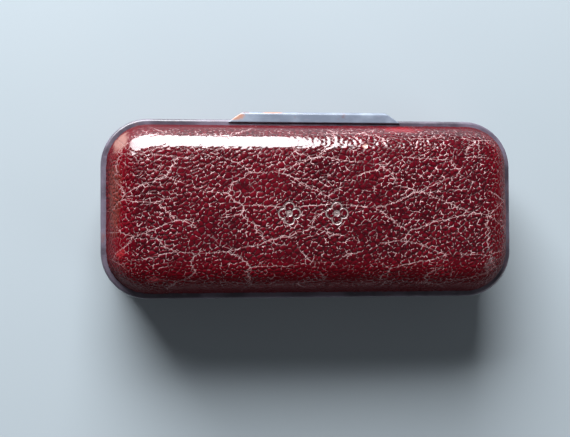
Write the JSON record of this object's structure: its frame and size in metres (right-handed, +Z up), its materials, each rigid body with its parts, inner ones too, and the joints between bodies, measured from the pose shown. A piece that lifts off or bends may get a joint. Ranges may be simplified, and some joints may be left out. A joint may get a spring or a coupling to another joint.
{
  "type": "leather jewellery case",
  "caption": "Oblong leather-covered jewellery case with rounded corners, a domed hinged lid, beaded rims, a push-button catch, velvet rolls and a satin-padded lid.",
  "frame": {"origin": "centre of the flat underside panel that the case rests on", "axes": "+X along the case, -Y towards the push button, +Y towards the hinge, +Z up"},
  "size_m": [0.085, 0.0381, 0.0251],
  "materials": {
    "grained_leather": "glossy pebbled morocco leather with pale creases",
    "smooth_leather": "smooth dark polished leather over a beaded rim",
    "tray_wood": "plain close-grained wood",
    "brass": "polished brass with handling marks",
    "spring_steel": "blued strip",
    "velvet": "deep blue silk velvet",
    "satin": "ivory satin",
    "wadding": "cotton wadding",
    "card": "strawboard",
    "lining_paper": "dark pasted paper"
  },
  "bodies": {
    "base": {"base_core": "tray_wood", "base_leather": "grained_leather", "bottom_panel": "lining_paper", "base_rim": "smooth_leather", "locating_lip": "satin", "bed_board": "card", "velvet_roll_front": "velvet", "velvet_roll_back": "velvet", "roll_core_front": "wadding", "roll_core_back": "wadding", "lock_case": "brass", "lock_plate": "brass", "lock_plate_pins": "brass", "button_collar": "brass", "bolt_spring": "spring_steel", "hinge_leaf_base": "brass", "hinge_brads_base": "brass", "hinge_pin": "brass", "hinge_spine": "smooth_leather"},
    "lid": {"lid_core": "tray_wood", "lid_leather": "grained_leather", "lid_rim": "smooth_leather", "lid_lining_strip": "satin", "lid_pad_board": "card", "lid_wadding": "wadding", "satin_cover": "satin", "hinge_leaf_lid": "brass", "hinge_brads_lid": "brass", "strike_plate": "brass", "strike_plate_pins": "brass", "strike_hook": "brass"},
    "button": {"push_button": "brass", "lock_bolt": "brass"}
  },
  "joints": [
    {"name": "lid_hinge", "type": "hinge", "parent": "base", "child": "lid", "pos_m": [0.00115, 0.0188, 0.015], "axis": [-1, 0, 0], "range_deg": [0, 100], "deforming": ["hinge_spine"]},
    {"name": "button_press", "type": "slide", "parent": "base", "child": "button", "axis": [0, 1, 0], "range_m": [0, 0.0004], "stiffness_N_per_m": 400, "springref_m": -0.001, "deforming": ["bolt_spring"]}
  ]
}
